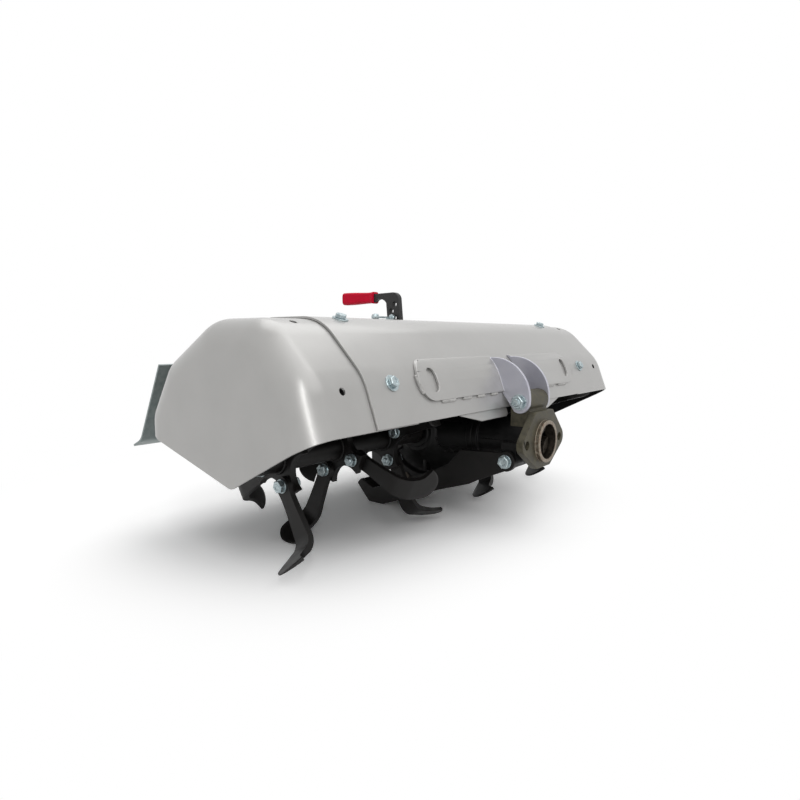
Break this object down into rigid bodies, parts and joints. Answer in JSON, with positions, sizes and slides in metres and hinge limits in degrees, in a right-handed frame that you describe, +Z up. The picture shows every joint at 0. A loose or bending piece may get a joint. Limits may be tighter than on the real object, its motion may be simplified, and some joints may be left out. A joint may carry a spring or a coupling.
{
  "type": "rotary tiller",
  "caption": "Tilling head for a two-wheel tractor: sheet hood with end wings, tined rotor, gearbox on a flanged neck, rear flap and depth skid with lever.",
  "frame": {"origin": "on the floor under the middle of the overall box", "axes": "+X across the working width, -Y towards the tractor coupling, +Y towards the rear flap, +Z up"},
  "size_m": [0.86, 0.4722, 0.3754],
  "materials": {
    "hood_grey": "satin",
    "flap_grey": "satin",
    "black_paint": "satin",
    "lever_black": "satin",
    "raw_casting": "rough",
    "machined_steel": "machined",
    "zinc_plate": "bright",
    "red_grip": "gloss"
  },
  "bodies": {
    "frame": {"coupling_flange": "raw_casting", "flap_hinges": "flap_grey", "front_stiffener_left": "hood_grey", "front_stiffener_right": "hood_grey", "gearbox": "black_paint", "hitch_bolt": "zinc_plate", "hitch_bracket_left": "hood_grey", "hitch_bracket_right": "hood_grey", "hood_center": "hood_grey", "hood_saddle": "black_paint", "index_plunger": "zinc_plate", "input_neck": "black_paint", "skid_screw_left": "zinc_plate", "skid_screw_right": "zinc_plate", "wing_left": "hood_grey", "wing_right": "hood_grey"},
    "rotor": {"rotor_hub_left": "black_paint", "rotor_hub_right": "black_paint", "rotor_shaft": "black_paint", "tine_holder_inner_left": "black_paint", "tine_holder_inner_right": "black_paint", "tine_holder_middle_left": "black_paint", "tine_holder_middle_right": "black_paint", "tine_holder_outer_left": "black_paint", "tine_holder_outer_right": "black_paint", "tines_inner_left": "black_paint", "tines_inner_right": "black_paint", "tines_middle_left": "black_paint", "tines_middle_right": "black_paint", "tines_outer_left": "black_paint", "tines_outer_right": "black_paint"},
    "input": {"input_dog": "machined_steel"},
    "flap": {"flap_straps": "flap_grey", "rear_flap": "flap_grey"},
    "skid": {"depth_lever": "lever_black", "lever_grip": "red_grip", "skid_plate_left": "black_paint", "skid_plate_right": "black_paint", "skid_sole": "black_paint"}
  },
  "joints": [
    {"name": "rotor_spin", "type": "hinge", "parent": "frame", "child": "rotor", "pos_m": [0, -0.01912, 0.13542], "axis": [1, 0, 0], "continuous": true},
    {"name": "input_spin", "type": "hinge", "parent": "frame", "child": "input", "pos_m": [0, -0.21412, 0.13542], "axis": [0, 1, 0], "continuous": true},
    {"name": "flap_swing", "type": "hinge", "parent": "frame", "child": "flap", "pos_m": [0, 0.14888, 0.25093], "axis": [1, 0, 0], "range_deg": [0, 70]},
    {"name": "skid_swing", "type": "hinge", "parent": "frame", "child": "skid", "pos_m": [0, -0.19312, 0.10743], "axis": [1, 0, 0], "range_deg": [0, 7]}
  ],
  "couplings": [
    {"joint": "input_spin", "follows": "rotor_spin", "ratio": 3.3333}
  ]
}
